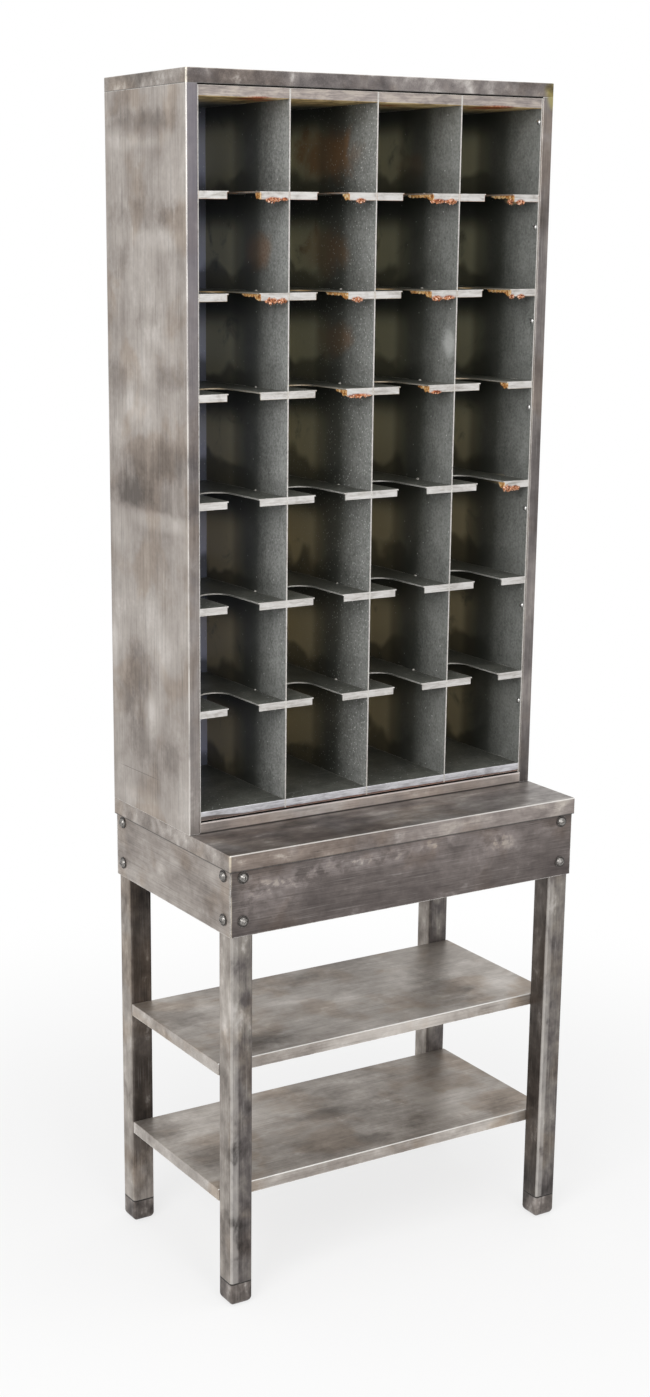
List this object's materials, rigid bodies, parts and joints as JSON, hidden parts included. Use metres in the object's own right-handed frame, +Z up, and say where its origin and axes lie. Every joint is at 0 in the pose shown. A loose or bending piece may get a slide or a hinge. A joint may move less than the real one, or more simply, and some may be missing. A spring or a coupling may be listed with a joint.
{
  "type": "pigeonhole mail sorter",
  "caption": "Tall sheet-steel cabinet of open pigeonholes with notched shelves, standing at the back of a steel table on square legs with open shelves below.",
  "frame": {"origin": "on the floor under the middle of the object's overall box", "axes": "+Z up, +Y to the back of the object, +X to its right seen from the front"},
  "size_m": [0.6936, 0.4076, 1.9645],
  "materials": {
    "table_steel": "blackened sheet steel, brushed and clear coated, worn bright at the folds",
    "leg_steel": "blackened square tube, brushed along its length, clear coated",
    "foot_iron": "dark iron with a worn edge",
    "pan_steel": "brushed sheet steel with clouded patina",
    "screw_steel": "bare turned steel",
    "shell_steel": "brushed sheet steel with clouded warm grey patina, clear coated",
    "insert_paint": "old dark green-grey paint, dusty, rubbed to bright steel on lips and front edges, with spots of rust"
  },
  "bodies": {
    "root": {"table_top": "table_steel", "front_apron": "table_steel", "rear_apron": "table_steel", "left_apron": "table_steel", "right_apron": "table_steel", "leg_front_left": "leg_steel", "leg_front_right": "leg_steel", "leg_rear_left": "leg_steel", "leg_rear_right": "leg_steel", "foot_front_left": "foot_iron", "foot_front_right": "foot_iron", "foot_rear_left": "foot_iron", "foot_rear_right": "foot_iron", "lower_shelf": "pan_steel", "upper_shelf": "pan_steel", "apron_screws": "screw_steel", "apron_washers": "screw_steel", "apron_nuts": "screw_steel", "shelf_rivets": "screw_steel", "cabinet_bolts": "screw_steel", "cabinet_nuts": "screw_steel", "back_rivets": "screw_steel", "insert_rivets": "screw_steel", "cabinet_left_side": "shell_steel", "cabinet_right_side": "shell_steel", "cabinet_back": "shell_steel", "cabinet_cap": "shell_steel", "cabinet_base": "shell_steel", "insert_left_side": "insert_paint", "insert_right_side": "insert_paint", "insert_back": "insert_paint", "insert_bottom": "insert_paint", "insert_top": "insert_paint", "divider_1": "insert_paint", "divider_2": "insert_paint", "divider_3": "insert_paint", "pigeonhole_shelf_1": "insert_paint", "pigeonhole_shelf_2": "insert_paint", "pigeonhole_shelf_3": "insert_paint", "pigeonhole_shelf_4": "insert_paint", "pigeonhole_shelf_5": "insert_paint", "pigeonhole_shelf_6": "insert_paint"}
  },
  "joints": []
}
